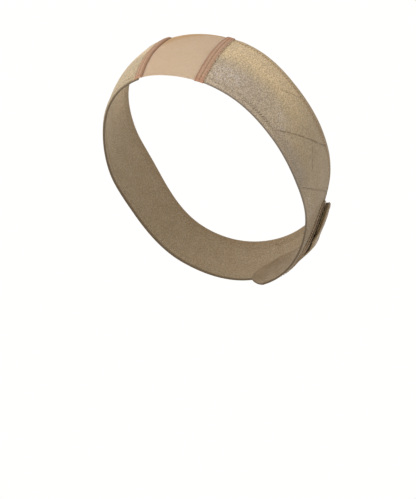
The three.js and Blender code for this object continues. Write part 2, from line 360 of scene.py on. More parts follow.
class Finish(Graph):
    """A new material, with its graph and the inputs of its shader."""

    def __init__(self, name, roughness):
        self.material = bpy.data.materials.new(name)
        self.material.use_nodes = True
        super().__init__(self.material.node_tree)
        self.inputs = self.tree.nodes["Principled BSDF"].inputs
        self.feed(self.inputs["Roughness"], roughness)
        self.feed(self.inputs["Specular IOR Level"], SPECULAR)

    def worn(self, tone, strength, depth_mm, size_mm, detail):
        """The material, once it has its tone and a fine bump of that depth and size."""
        self.feed(self.inputs["Base Color"], tone)
        grain = self.speckle(size_mm, detail)
        bump = self.add("Bump", {"Strength": strength, "Distance": depth_mm * MM, "Height": grain})
        self.feed(self.inputs["Normal"], bump.outputs[0])
        return self.material


print("finishes have a specular level of", SPECULAR)

# %% [markdown]
# The floor is a large pale sheet well below the band. A curved backdrop would hide its far edge. Here
# it glows a little more with distance, as an overlit studio floor does, until it is as white as the sky.

# %% Floor
FLOOR_Z = -0.42
FLOOR_REACH = 9.0
FLOOR_FADES = (0.5, 3.0)
FLOOR_GLOW = (0.02, 0.35)
FLOOR_SPECK = dict(size_mm=60.0, detail=2.0)
FLOOR_TONES = ((240, 239, 237), (246, 245, 243))
WHITE = (1.0, 1.0, 1.0, 1.0)

floor_mesh = bpy.data.meshes.new("floor")
floor_corners = [(x * FLOOR_REACH, y * FLOOR_REACH, FLOOR_Z) for x, y in ((-1, -1), (1, -1), (1, 1), (-1, 1))]
floor_mesh.from_pydata(floor_corners, [], [(0, 1, 2, 3)])
floor = bpy.data.objects.new("floor", floor_mesh)
SCENE.collection.objects.link(floor)
pale = Finish("pale_floor", roughness=0.6)
from_middle = pale.add("VectorMath", {0: pale.spot()}, operation="LENGTH").outputs["Value"]
pale.feed(pale.inputs["Base Color"], pale.mixed(pale.speckle(**FLOOR_SPECK), *FLOOR_TONES))
pale.feed(pale.inputs["Emission Color"], WHITE)
pale.feed(pale.inputs["Emission Strength"], pale.ramp(from_middle, *FLOOR_FADES, *FLOOR_GLOW))
floor_mesh.materials.append(pale.material)
print("floor at", FLOOR_Z, "m")

# %% [markdown]
# Every cloth here is a wall: two faces that meet at a rim. A Solidify modifier could thicken a sheet,
# but hems and folds need their own thickness, so we compute both faces as grids and join them. The sign
# of the volume that they close tells which way they point.

# %% Helpers for meshes


def add_piece(name, points, faces, slot, finish, numbers=None):
    """Mesh object that rides with the band. numbers are values kept at each point for the finish."""
    mesh = bpy.data.meshes.new(name)
    mesh.from_pydata(points.tolist(), [], faces.tolist())
    for key_name, values in (numbers or {}).items():
        kept = mesh.attributes.new(key_name, "FLOAT", "POINT")
        kept.data.foreach_set("value", np.ascontiguousarray(values, np.float32).ravel())
    mesh.shade_smooth()
    mesh.materials.append(finish)
    piece = bpy.data.objects.new(name, mesh)
    SCENE.collection.objects.link(piece)
    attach(piece, "root")
    print(name, "has", len(mesh.polygons), "faces")
    return piece


def outward(points, faces):
    """The same faces, turned so that their fronts point out of the solid."""
    corners = points[faces]
    across = corners[:, 3] - corners[:, 1]
    volume = np.einsum("ij,ij->", corners[:, 0], np.cross(corners[:, 2], across))
    return faces if volume > 0 else faces[:, ::-1]


def wall(outer, inner):
    """Points and faces of a closed wall from two grids of points with the same rows and columns."""
    rows, columns = outer.shape[:2]
    count = rows * columns
    place = np.arange(count).reshape(rows, columns)
    a, b, c, d = place[:-1, :-1], place[:-1, 1:], place[1:, 1:], place[1:, :-1]
    face = np.stack([a, b, c, d], axis=-1).reshape(-1, 4)
    loop = np.concatenate([place[0, :-1], place[:-1, -1], place[-1, :0:-1], place[:0:-1, 0]])
    after = np.roll(loop, -1)
    rim = np.stack([loop, loop + count, after + count, after], axis=-1)
    faces = np.concatenate([face, face[:, ::-1] + count, rim])
    points = np.concatenate([outer.reshape(-1, 3), inner.reshape(-1, 3)])
    return points, outward(points, faces)


def on_both_faces(numbers):
    """Numbers for all the points of a wall, from grids of them that hold for both its faces."""
    return {name: np.tile(values.ravel(), 2) for name, values in numbers.items()}


def soft_noise(points, size_mm):
    """Smooth noise from about -1 to 1 at points in metres, with swells of about that size."""
    spots = points.reshape(-1, 3) / (size_mm * MM)
    return np.array([noise.noise(spot) for spot in spots]).reshape(points.shape[:-1])


print("noise at one spot:", round(float(soft_noise(np.full(3, MM), 3.0)), 2))

# %% [markdown]
# The two wings are hemmed velour. The near one runs to the nape. The far one goes round the nape and
# laps over it as a rounded tongue. Their outlines could be drawn as curves, but tables let both go
# through the same functions: what comes off the two edges along the band, how the sections lean, and
# where creases run.

# %% Sizes of the wings
LACE_LENGTH = 53.0
SEAM = LACE_LENGTH / 2
SEAM_LEAN = 2.5
FAR_SEAM_DROP = 3.8
FAR_LACE_LIFT = 1.8
GAP = 0.3
WING_START = SEAM + GAP
VELOUR_WALL = 1.4
PATCH_WALL = 1.0
LAYER_GAP = 0.45
LAP_HEIGHT = VELOUR_WALL + 2 * PATCH_WALL + 3 * LAYER_GAP
LAP_CLIMB = (240.0, 290.0)
LAP_LOWER_DROP = 1.5
LAP_LOWER_POWER = 8
LAP_UPPER_DROP = 2.8
LAP_UPPER_FROM = 0.6
CORNER_CURL = 0.6
CURL_POWER = 1.5
TONGUE_APEX = 0.48
TONGUE_LOWER_BACK = 18.0
TONGUE_UPPER_BACK = 19.0
TONGUE_SHAPED_OVER = 60.0
LEFT_END = SEAM + 255.0
TONGUE_END = SEAM + 357.0

WING_LEFT = {
    "side": 1,
    "end": LEFT_END,
    "laps": False,
    "leans": table("along lean", (WING_START, SEAM_LEAN), (118, 65), (168, 48), (LEFT_END, 0)),
    "edges": table(
        "along lower_off upper_off",
        (40, 0, 0), (80, 0, -1.6), (120, 0, -2), (145, 0, -1.7),
        (160, 0, -0.4), (170, 0, 7), (182, 0, 14.5), (282, 2, 14),
    ),
    "creases": table(
        "from to depth half_width eases",
        ((85.5, 0), (150.5, 52), 0.36, 0.7, 20),
        ((144, 0), (192, 46), 0.3, 0.7, 9),
        ((129, 34), (150, 18), 0.28, 0.8, 6),
        ((72, 30), (102, 49), 0.27, 0.8, 8),
    ),
}
WING_RIGHT = {
    "side": -1,
    "end": TONGUE_END,
    "laps": True,
    "leans": table("along lean", (WING_START, SEAM_LEAN), (TONGUE_END, 0)),
    "edges": table(
        "along lower_off upper_off",
        (SEAM, 0, FAR_SEAM_DROP), (80, 0, 0), (150, 0, 0),
        (230, 6, 4), (335, 25, -9.5), (383, 13, 2.8),
    ),
    "creases": [],
}
WINGS = {"wing_left": WING_LEFT, "wing_right": WING_RIGHT}
print("wings end", LEFT_END, "and", TONGUE_END, "mm from the middle of the forehead")

# %% [markdown]
# A point of a wing has a place along it and a share of its width. A lattice could bend a plain strip to
# the wing's form, but functions that lay each point on the flat map are more exact. The near wing's
# sections lean with its creases. The far wing's corners are set back, which rounds the tongue, and the
# lap lifts it over the near wing's end.

# %% Shape of a wing on the flat map


def wing_width(wing, along):
    off = between(wing["edges"], "lower_off", along) + between(wing["edges"], "upper_off", along)
    return width_at(along) - off


def tongue_at(wing, along):
    return smooth(along, wing["end"] - TONGUE_SHAPED_OVER, wing["end"])


def set_back(share):
    lower = np.clip(1 - share / TONGUE_APEX, 0, None)
    upper = np.clip((share - TONGUE_APEX) / (1 - TONGUE_APEX), 0, None)
    return TONGUE_LOWER_BACK * lower**2 + TONGUE_UPPER_BACK * upper**2


def wing_place(wing, along, share):
    """Place of a wing's point on the flat map: along the band and up from its lower edge."""
    lean = between(wing["leans"], "lean", along) * (share - 0.5)
    ahead = along + lean - tongue_at(wing, along) * set_back(share)
    rise = between(wing["edges"], "lower_off", along) + share * wing_width(wing, along)
    return ahead, rise * width_at(ahead) / width_at(along)


def base_height(wing, along, share):
    """Height of a wing's inner face off the hollow. Only the lap stands off it."""
    if not wing["laps"]:
        return np.zeros(np.broadcast(along, share).shape)
    lower = LAP_LOWER_DROP * np.clip(1 - 2 * share, 0, None) ** LAP_LOWER_POWER
    upper = LAP_UPPER_DROP * smooth(share, LAP_UPPER_FROM, 1)
    curl = CORNER_CURL * tongue_at(wing, along) * np.clip(1 - share, 0, None) ** CURL_POWER
    return (LAP_HEIGHT - lower - upper) * smooth(along, *LAP_CLIMB) + curl


def wing_point(wing, along, share, height):
    ahead, rise = wing_place(wing, along, share)
    return cloth_point(wing["side"] * ahead, rise, base_height(wing, along, share) + height)


TONGUE_LOWER_OFF = WING_RIGHT["edges"][-1]["lower_off"]
TONGUE_WIDTH = float(wing_width(WING_RIGHT, TONGUE_END))
for node, wing in WINGS.items():
    print(node, "ends", round(float(wing_width(wing, wing["end"])), 1), "mm wide")

# %% [markdown]
# A hem is an edge turned under and sewn, so it is thicker and its rim is round. A Bevel modifier could
# round the rim, but not thicken the cloth, so we give both faces a height by distance from the edge. The
# fold line inside and the row of stitches are pressed in a little.

# %% Hems of the velour
HEM_ROUND = 1.5
HEM_FLAT = 4.4
HEM_DEPTH = 8.0
HEM_THICK = 1.8
HEM_FOLD_HEIGHT = 1.0
HEM_GROWS = (WING_START + 3.3, WING_START + 9.3)
UPPER_HEM_PRESSED = (166.0, 174.0)
FOLD_LINE = dict(at=7.0, half_width=0.5, depth=0.35)
STITCH_LINE = dict(at=4.6, half_width=0.7, depth=0.04)


def pressed(from_edge, line):
    """Depth of a line that is pressed into a hem, by distance from the edge."""
    return line["depth"] * bell((from_edge - line["at"]) / line["half_width"])


def hem_faces(from_edge, swell):
    """Heights of a wing's inner and outer face by distance from its edge."""
    round_off = np.sqrt(1 - (1 - np.clip(from_edge / HEM_ROUND, 0, 1)) ** 2)
    turned = swell * (1 - smooth(from_edge, HEM_FLAT, HEM_DEPTH))
    thick = VELOUR_WALL + (HEM_THICK - VELOUR_WALL) * turned
    outer = HEM_FOLD_HEIGHT + (thick - HEM_FOLD_HEIGHT) * round_off - swell * pressed(from_edge, STITCH_LINE)
    return HEM_FOLD_HEIGHT * (1 - round_off) + swell * pressed(from_edge, FOLD_LINE), outer


def hem_swell(wing, along, share):
    """How far a hem has grown: not yet at the seam, and pressed flat again under the loop patch."""
    grown = smooth(along, *HEM_GROWS) + np.zeros(share.shape)
    if wing["laps"]:
        return grown
    return grown * (1 - smooth(along, *UPPER_HEM_PRESSED) * (share > 0.5))


print("hem is", round(float(hem_faces(np.array(2.0), 1.0)[1]), 2), "mm thick,", VELOUR_WALL, "mm beside it")

# %% [markdown]
# Creases are left by the pack: narrow grooves with a soft lip on each side. Bump could paint them, but they
# catch the light and break the outline, so they go in the mesh, and so do the low swells of the cloth and the
# unevenness of its pile. Along their lines the finish also lays painted shade.

# %% Creases and pile of the velour
CREASE_LIP = dict(at=2.2, height=0.35)
CREASE_STARTS = -1
CREASE_ENDS = (-6, 1)
CREASE_SHADE = 2
CREASE_CLEARS_EDGE = (-1, 4)
PILE_CLEARS_EDGE = (0, 2)
PILE_DEPTH = 0.09
PILE_SIZE = 1.9
SWELL_DEPTH = 0.16
SWELL_SIZE = 17.0


def crease_lines(wing, along, share):
    """How far the creases press the cloth in, and how much painted shade lies along their lines."""
    ahead, rise = wing_place(wing, along, share)
    dip = np.zeros(ahead.shape)
    dark = np.zeros(ahead.shape)
    for crease in wing["creases"]:
        run = np.subtract(crease["to"], crease["from"])
        reach = np.linalg.norm(run)
        x, y = run / reach
        past = ahead - crease["from"][0]
        above = rise - crease["from"][1]
        on = past * x + above * y
        off = np.abs(past * y - above * x) / crease["half_width"]
        lasts = smooth(on, CREASE_STARTS, crease["eases"]) * (1 - smooth(on - reach, *CREASE_ENDS))
        depth = crease["depth"] * lasts
        dip += depth * (bell(off) - CREASE_LIP["height"] * bell(off - CREASE_LIP["at"]))
        dark += CREASE_SHADE * depth * bell(off)
    return dip, dark


def edge_distance(wing, along, share):
    width = wing_width(wing, along)
    return np.minimum(np.minimum(share, 1 - share) * width, wing["end"] - along)


def velour_height(wing, along, share):
    """Height of a wing's outer face over its inner one, with its hem, creases, swells and pile."""
    from_edge = edge_distance(wing, along, share)
    hem = hem_faces(from_edge, hem_swell(wing, along, share))[1]
    outer = hem - crease_lines(wing, along, share)[0] * smooth(from_edge, *CREASE_CLEARS_EDGE)
    spot = wing_point(wing, along, share, outer)
    relief = PILE_DEPTH * soft_noise(spot, PILE_SIZE) + SWELL_DEPTH * soft_noise(spot, SWELL_SIZE)
    return outer + relief * smooth(along, *HEM_GROWS) * smooth(from_edge, *PILE_CLEARS_EDGE)


print("deepest crease is", column(WING_LEFT["creases"], "depth").max(), "mm deep")

# %% [markdown]
# The near wing has painted glints, highlights in a few spots, and both wings have painted shade inside the
# lap. Masks could be painted for that. Two functions give the same by place, so they follow any change of the
# shape.

# %% Painted glints and shade of the velour
GLINT_SPOTS = table(
    "along rise reach strength",
    (38, 14, 8, 0.75), (49, 15, 6.5, 0.65), (84, 21, 3.5, 0.5), (92, 17, 4, 0.8),
    (97, 14, 4, 0.9), (161, 7, 7, 0.45), (175, 6, 7, 0.45),
)
GLINT_ALL_OVER = 0.14
SHADE_UNDER_TONGUE = (-62.0, -50.0)
SHADE_PAST_END = (-4.5, 2.0)
SHADE_SHARE = (-0.2, 0.05)


def glint_near(wing, along, share):
    """How strongly painted glints show at a place: a little all over, and more in a few spots."""
    ahead, rise = wing_place(wing, along, share)
    near = np.zeros(ahead.shape)
    for spot in GLINT_SPOTS:
        near += spot["strength"] * bell(np.hypot(ahead - spot["along"], rise - spot["rise"]) / spot["reach"])
    return np.clip(near * (wing["side"] > 0) + GLINT_ALL_OVER, 0, 1)


def lap_depth(wing, along, share):
    """How deep in the lap a wing's outer and inner face lie, each from 0 to 1."""
    ahead, rise = wing_place(wing, along, share)
    clear = np.zeros(ahead.shape)
    if wing["laps"]:
        return clear, smooth(along - TONGUE_END, *SHADE_UNDER_TONGUE) + clear
    tongue_share = (rise - TONGUE_LOWER_OFF) / TONGUE_WIDTH
    past_end = TONGUE_END - set_back(tongue_share) - (LOOP_LENGTH - ahead)
    return smooth(past_end, *SHADE_PAST_END) * smooth(tongue_share, *SHADE_SHARE), clear


# The spots hold painted highlights.
print(len(GLINT_SPOTS), "worn spots on the near wing")

# %% [markdown]
# The grid is fine at the hems, where the cloth turns, and plainer between them. A subdivision modifier would
# refine it everywhere. Each point also keeps numbers for the finish: where it is, and how near an edge, a
# crease, a glint spot or the inside of the lap is. The finish lays painted shade in the creases and the lap,
# and painted highlights at the glints.

# %% Mesh of a wing
CLOTH_STEP = 0.8
HEM_ROWS = [0.0, 0.12, 0.35, 0.7, 1.1, 1.5, 2.3, 3.1, 3.8, 4.2, 4.6, 5.0, 5.6, 6.2, 6.6, 7.0, 7.4, 8.0]
MIDDLE_ROWS = 48
CREASE_DOTS = 0.6
CREASE_DOT_SIZE = 2.4


def wing_mesh(wing):
    """Points and faces of a wing, and the numbers that its finish reads."""
    count = int((wing["end"] - WING_START) / CLOTH_STEP)
    along = np.linspace(WING_START, wing["end"], count)[:, None]
    width = wing_width(wing, along)
    hem = np.tile(HEM_ROWS, (count, 1))
    middle = HEM_DEPTH + (width - 2 * HEM_DEPTH) * np.linspace(0, 1, MIDDLE_ROWS + 2)[None, 1:-1]
    share = np.concatenate([hem, middle, width - hem[:, ::-1]], axis=1) / width
    along = np.repeat(along, share.shape[1], 1)
    from_edge = edge_distance(wing, along, share)
    inner = hem_faces(from_edge, hem_swell(wing, along, share))[0]
    outer_points = wing_point(wing, along, share, velour_height(wing, along, share))
    points, faces = wall(outer_points, wing_point(wing, along, share, inner))
    dots = 1 + CREASE_DOTS * soft_noise(outer_points, CREASE_DOT_SIZE)
    ahead = wing_place(wing, along, share)[0]
    numbers = on_both_faces({
        "along_mm": wing["side"] * ahead,
        "reach_mm": ahead,
        "share": share,
        "edge_mm": from_edge,
        # painted shade along the creases, in dots
        "crease": crease_lines(wing, along, share)[1] * dots,
        # painted highlights: how strongly the pile glints
        "glint": glint_near(wing, along, share),
    })
    # painted shade inside the lap
    numbers["lap"] = np.concatenate([depth.ravel() for depth in lap_depth(wing, along, share)])
    return points, faces, numbers


print("each face of a wing has", 2 * len(HEM_ROWS) + MIDDLE_ROWS, "points across it")

# %% [markdown]
# Seen from afar, velour turns from gold, where it faces the lamp, to a greyer tan low down, and it is darker
# at its edges. Much of that is painted light: a painted highlight on the upper front, a painted sheen that
# greys the lower half, painted shade on the far wing, towards the back and on the tongue, and a painted
# highlight on the tongue's lower corner. A painted image could hold that, but a table is easier to read and
# to change: each row has a tone, how much of it there is at most, and where on the band it lies.

# %% Tones of the velour


def tones(*rows):
    """Tones to lay over each other. where has kept numbers, each with the span over which it fades in."""
    return table("part tone most where", *rows)


GOLD_TAN = (202, 178, 138)
GREY_TAN = (178, 160, 138)
EDGE_BROWN = (96, 81, 62)
# painted highlight for the glints of the pile
GLINT = (232, 229, 232)
VELOUR_TONES = tones(
    # painted shade: the far wing is darker all over
    ("far wing", (180, 159, 126), 1, [("along_mm", 10, -30)]),
    # painted shade: darker towards the sides, which turn away from the lamp
    ("sides", (158, 138, 109), 1, [("reach_mm", 60, 145)]),
    # painted highlight: a lighter gold band on the upper half at the front
    ("upper half at the front", (214, 187, 147), 0.65,
     [("share", 0.45, 0.66), ("share", 0.99, 0.86), ("reach_mm", 125, 65)]),
    ("lower hem at the ear", (146, 134, 122), 0.55,
     [("share", 0.34, 0.1), ("along_mm", 70, 100), ("along_mm", 165, 135)]),
    # painted sheen: the lower half of the near wing is greyer
    ("lower half of the near wing", GREY_TAN, 1,
     [("share", 0.62, 0.32), ("along_mm", 20, 34), ("along_mm", 125, 60)]),
    # painted shade: the near wing darkens towards its end at the nape
    ("near wing's end", (129, 108, 80), 1, [("along_mm", 150, 215)]),
    # painted shade: the tongue is darker, where it turns away from the light
    ("tongue", (138, 113, 88), 1, [("reach_mm", 330, 372)]),
    # painted highlight on the tongue's lower corner
    ("tongue's lower corner", (176, 160, 142), 0.8, [("share", 0.25, 0.06), ("reach_mm", 352, 366)]),
)
# Painted shade in the creases and inside the lap.
PAINTED_SHADE_TONES = tones(
    ("creases", (104, 87, 66), 0.6, [("crease", 0.1, 0.8)]),
    ("inside the lap", (134, 115, 92), 0.9, [("lap", 0, 1)]),
)
UPPER_HALF = (0.45, 0.55)
# Painted shadow: the lower edges are darkened towards a dark brown, greyer on the near wing and wider on the
# far wing. The upper edges get a browner band.
RIM_TONES = tones(
    ("near wing", (116, 106, 95), 1, [("along_mm", 20, 34), ("along_mm", 200, 165)]),
    ("tongue", (134, 112, 76), 1, [("reach_mm", 320, 350)]),
    ("upper edges", (138, 112, 82), 1, [("share", *UPPER_HALF)]),
)
print("velour has", len(VELOUR_TONES), "tones laid over its first, and its rims", len(RIM_TONES))

# %% [markdown]
# Velour is short cut pile. Seen close it is a grain of light and dark tips, a few of which glint. Hair could
# make every tip, at a cost of millions of strands. Small noise makes the grain and its bump, and places
# painted highlights for the glints, over the tones of the tables.

# %% Velour finish
RIM_FROM = 0.2
FAR_RIM = (-26, -34)
LOWER_RIM_REACH = (1.5, 2.8)
UPPER_RIM_REACH = 9.0
RIM_STRENGTH = (0.85, 0.4)
GREY_PATCHES = dict(size_mm=9.0, detail=3.0, low=0.35, high=0.7, end=0.2)
GRAIN = dict(size_mm=0.9, detail=2.0, low=0.34, high=0.66, start=-0.5, end=0.5)
GRAIN_FADES = (60, 170)
GRAIN_CONTRAST = (0.62, 0.36)
BRIGHT_TIPS = dict(size_mm=0.65, detail=0.0, low=0.6, high=0.75)
TIP_ROUGHNESS = (0.74, 0.4)
VELOUR_BUMP = dict(strength=0.6, depth_mm=0.4, size_mm=0.9, detail=2.0)
SHEEN = {"Sheen Weight": 0.18, "Sheen Roughness": 0.45, "Sheen Tint": (1.0, 0.93, 0.8, 1.0)}


def velour_finish():
    velour = Finish("velour", roughness=0.72)
    tone = velour.layered(GOLD_TAN, VELOUR_TONES)
    tone = velour.mixed(velour.fleck(**GREY_PATCHES), tone, GREY_TAN)
    contrast = velour.ramp(velour.kept("reach_mm"), *GRAIN_FADES, *GRAIN_CONTRAST)
    tone = velour.brightened(tone, velour.math("MULTIPLY_ADD", velour.fleck(**GRAIN), contrast, 1.0))
    # painted highlights: bright glints where the kept glint number is high
    tips = velour.math("MULTIPLY", velour.fleck(**BRIGHT_TIPS), velour.kept("glint"))
    tone = velour.layered(velour.mixed(tips, tone, GLINT), PAINTED_SHADE_TONES)
    # painted shadow along the lower edges, and a browner band along the upper ones
    share = velour.kept("share")
    lower_reach = velour.ramp(velour.kept("along_mm"), *FAR_RIM, *LOWER_RIM_REACH)
    reach = velour.ramp(share, *UPPER_HALF, lower_reach, UPPER_RIM_REACH)
    strength = velour.ramp(share, *UPPER_HALF, *RIM_STRENGTH)
    on_rim = velour.ramp(velour.kept("edge_mm"), RIM_FROM, reach, strength, 0)
    tone = velour.mixed(on_rim, tone, velour.layered(EDGE_BROWN, RIM_TONES))
    velour.feed(velour.inputs["Roughness"], velour.ramp(tips, 0, 1, *TIP_ROUGHNESS))
    for name, value in SHEEN.items():
        velour.feed(velour.inputs[name], value)
    return velour.worn(tone, **VELOUR_BUMP)


VELOUR = velour_finish()
for node, wing in WINGS.items():
    points, faces, numbers = wing_mesh(wing)
    add_piece(node + "_velour", points, faces, "velour", VELOUR, numbers)
    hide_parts(node)

# %% [markdown]
# The window lies between the two seams. It is nearly a rectangle, but its far side is drawn up a little,
# so its edges come from a short table like those of the wings.

# %% Lace on the flat map
LACE_BASE = 0.15
LACE_WALL = 1.0
LACE_MIDDLE = LACE_BASE + LACE_WALL / 2
LACE_REACH = SEAM - GAP
LACE_HEIGHT = 57.0
LACE_EDGES = table(
    "along lower_off upper_off",
    (-SEAM, FAR_LACE_LIFT, FAR_SEAM_DROP), (0, 0.4, 0.8), (SEAM, 0, 0),
)


def lace_point(along, share, height):
    place = along + SEAM_LEAN * (share - 0.5) * along / SEAM
    lower = between(LACE_EDGES, "lower_off", along)
    upper = width_at(place) - between(LACE_EDGES, "upper_off", along)
    return cloth_point(place, lower + share * (upper - lower), height)


print("lace is", LACE_LENGTH, "by", LACE_HEIGHT, "mm when flat")

# %% [markdown]
# The window is fine net with six-sided holes. A see-through material would hide the threads, and would
# not darken where the net turns away. So we knit real holes: each cell is a ring of faces from a crest,
# shared with its neighbours, down to the rim of its hole.

# %% Knit the net
NET_PITCH = 0.9
NET_TURN = math.radians(20)
NET_HOLE = 0.32
NET_CREST = 0.1
CELL_SIDES = 6


def net_cells():
    """Middles of the net's cells on the flat lace, in rows that are turned a little."""
    reach = int((LACE_REACH + LACE_HEIGHT) / NET_PITCH)
    row, place = np.meshgrid(np.arange(-reach, reach), np.arange(-reach, reach), indexing="ij")
    x = (place + 0.5 * (row % 2)) * NET_PITCH
    y = row * NET_PITCH * math.sqrt(3) / 2
    along = x * math.cos(NET_TURN) - y * math.sin(NET_TURN)
    rise = x * math.sin(NET_TURN) + y * math.cos(NET_TURN) + LACE_HEIGHT / 2
    half = NET_PITCH / 2
    inside = (np.abs(along) < LACE_REACH - half) & (rise > half) & (rise < LACE_HEIGHT - half)
    return np.stack([along[inside], rise[inside]], axis=-1)


def net_mesh():
    turn = NET_TURN + np.pi / 6 + np.pi / 3 * np.arange(CELL_SIDES)
    spokes = NET_PITCH / math.sqrt(3) * np.stack([np.cos(turn), np.sin(turn)], axis=-1)
    cells = net_cells()[:, None, :]
    crest_spots = (cells + spokes).reshape(-1, 2)
    crests, crest = np.unique(crest_spots.round(3), axis=0, return_inverse=True)
    crest = crest.reshape(-1, CELL_SIDES)
    count = len(crests)
    rims = (cells + NET_HOLE * spokes).reshape(-1, 2)
    flat = np.concatenate([crests, crests, rims])
    along = flat[:, 0]
    share = flat[:, 1] / LACE_HEIGHT
    height = np.repeat([NET_CREST, -NET_CREST, 0], [count, count, len(rims)])
    points = lace_point(along, share, LACE_MIDDLE + height)
    rim = 2 * count + np.arange(len(rims)).reshape(-1, CELL_SIDES)
    after = np.roll(crest, -1, axis=1)
    top = np.stack([crest, after, np.roll(rim, -1, axis=1), rim], axis=-1).reshape(-1, 4)
    under = top + np.array([count, count, 0, 0])
    a = crest.ravel()
    b = after.ravel()
    edge = np.minimum(a, b) * count + np.maximum(a, b)
    _, which, uses = np.unique(edge, return_index=True, return_counts=True)
    a = a[which[uses == 1]]
    b = b[which[uses == 1]]
    sides = np.stack([b, a, a + count, b + count], axis=-1)
    faces = np.concatenate([top, under[:, ::-1], sides])
    return points, outward(points, faces), {"along_mm": along, "reach_mm": np.abs(along), "share": share}


print("net has", len(net_cells()), "cells")

# %% [markdown]
# The net's thread is pale and matt. One tone would look flat, so it warms a little upwards and to the
# far side, and it is browner at both sides, where the net is folded under the tapes.

# %% Lace finish
LACE_TAN = (205, 175, 138)
LACE_WARM = (197, 161, 123)
LACE_TONES = tones(("folds", (186, 150, 118), 0.6, [("reach_mm", 20.3, 22.8)]))
WARM_UPWARDS = dict(low=0.2, high=1.1, end=0.5)
WARM_TO_FAR_SIDE = dict(low=30, high=-30, end=0.5)
LACE_FLECK = dict(size_mm=1.4, detail=2.0, low=0.32, high=0.68, start=0.93, end=1.07)
LACE_BUMP = dict(strength=0.4, depth_mm=0.1, size_mm=0.25, detail=1.0)


def lace_finish():
    lace = Finish("lace", roughness=0.85)
    upwards = lace.ramp(lace.kept("share"), **WARM_UPWARDS)
    to_far_side = lace.ramp(lace.kept("along_mm"), **WARM_TO_FAR_SIDE)
    tone = lace.mixed(lace.math("ADD", upwards, to_far_side), LACE_TAN, LACE_WARM)
    tone = lace.brightened(lace.layered(tone, LACE_TONES), lace.fleck(**LACE_FLECK))
    return lace.worn(tone, **LACE_BUMP)


points, faces, numbers = net_mesh()
lace_net = add_piece("lace_net", points, faces, "lace", lace_finish(), numbers)
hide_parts("lace_window")

# %% [markdown]
# Threads are thin tubes. A curve with a bevel would do for one, but there are hundreds, so one function
# makes a mesh of many. Each narrows at its ends, where the thread goes into the cloth.

# %% Tubes for threads
TUBE_SIDES = 6
TUBE_NARROWS = 0.6
TUBE_POWER = 6
SPUN = dict(size_mm=0.9, detail=2.0, low=0.35, high=0.65)
THREAD_BUMP = dict(strength=0.5, depth_mm=0.1, size_mm=0.2, detail=1.0)


def tubes(lines, radius):
    """Points and faces of closed tubes, one along each row of points in metres. radius is in mm."""
    run = unit(np.gradient(lines, axis=1))
    beside = unit(np.cross(run, hollow_normal(lines / MM)))
    above = np.cross(beside, run)
    turn = 2 * np.pi * np.arange(TUBE_SIDES)[:, None] / TUBE_SIDES
    ring = beside[..., None, :] * np.cos(turn) + above[..., None, :] * np.sin(turn)
    count, stops = lines.shape[:2]
    size = 1 - TUBE_NARROWS * np.abs(np.linspace(-1, 1, stops)) ** TUBE_POWER
    points = lines[..., None, :] + ring * (radius * MM * size)[:, None, None]
    place = np.arange(count * stops * TUBE_SIDES).reshape(count, stops, TUBE_SIDES)
    after = np.roll(place, -1, axis=2)
    skin = np.stack([place[:, :-1], after[:, :-1], after[:, 1:], place[:, 1:]], axis=-1).reshape(-1, 4)
    starts = [place[:, 0, [3, 2, 1, 0]], place[:, 0, [5, 4, 3, 0]]]
    ends = [place[:, -1, [0, 1, 2, 3]], place[:, -1, [0, 3, 4, 5]]]
    points = points.reshape(-1, 3)
    return points, outward(points, np.concatenate([skin, *starts, *ends]))


def thread_finish(name, light, dark, roughness=0.7, layers=()):
    """Spun thread: two tones that change along it, any tones laid over them, and a fine twist."""
    thread = Finish(name, roughness)
    tone = thread.layered(thread.mixed(thread.fleck(**SPUN), dark, light), layers)
    return thread.worn(tone, **THREAD_BUMP)


print("tubes have", TUBE_SIDES, "sides")

# %% [markdown]
# A cut net would run, so its two free edges are bound with a fine cord, one tube along each, which hides
# the ragged border of the cells.

# %% Bound edges of the lace
LACE_EDGE_RADIUS = 0.34
LACE_EDGE_STOPS = 120
LACE_EDGE_SHARES = (0.003, 0.997)

along = np.linspace(-LACE_REACH, LACE_REACH, LACE_EDGE_STOPS)
level = np.ones(along.shape)
edge_lines = np.stack([lace_point(along, share * level, LACE_MIDDLE * level) for share in LACE_EDGE_SHARES])
lace_edges = add_piece("lace_edges", *tubes(edge_lines, LACE_EDGE_RADIUS), "lace",
                       thread_finish("lace_edge", (206, 178, 146), (192, 160, 127)))

# %% [markdown]
# A narrow woven tape covers each joint of lace and velour. It has fine ribs across it, and the stitches
# in its middle pull it into two soft rolls. The ribs are in the mesh, because the tape is seen from
# close by. Its ends are pressed thin where they are turned under.

# %% Seam tapes
TAPE_LOWER = -0.8
TAPE_PAST_UPPER = 0.1
TAPE_STEP = 0.15
TAPE_COLUMNS = 33
RIB_PITCH = 0.9
RIB_DEPTH = 0.05
TAPE_END = 1.2
TAPE_END_PRESSED = 0.55
TAPE = table(
    "across base top",
    (-3.6, 0.9, 1.1), (-3.3, 0.95, 1.5), (-2.6, 1.2, 1.95), (-0.5, 1.5, 2.15), (0.0, 1.5, 2.08),
    (0.5, 1.5, 2.15), (2.8, 1.5, 2.1), (3.3, 1.5, 1.9), (3.5, 1.5, 1.65),
)
SEAM_WIDTH = float(width_at(SEAM))


def tape_ends(side):
    if side > 0:
        return TAPE_LOWER, SEAM_WIDTH + TAPE_PAST_UPPER
    return TAPE_LOWER + FAR_LACE_LIFT, SEAM_WIDTH + TAPE_PAST_UPPER - FAR_SEAM_DROP


def tape_point(side, across, rise, height):
    seam = SEAM + SEAM_LEAN * (rise / SEAM_WIDTH - 0.5)
    return cloth_point(side * (seam + across), rise, height)


def ribs(rise):
    return np.sin(2 * np.pi * rise / RIB_PITCH)


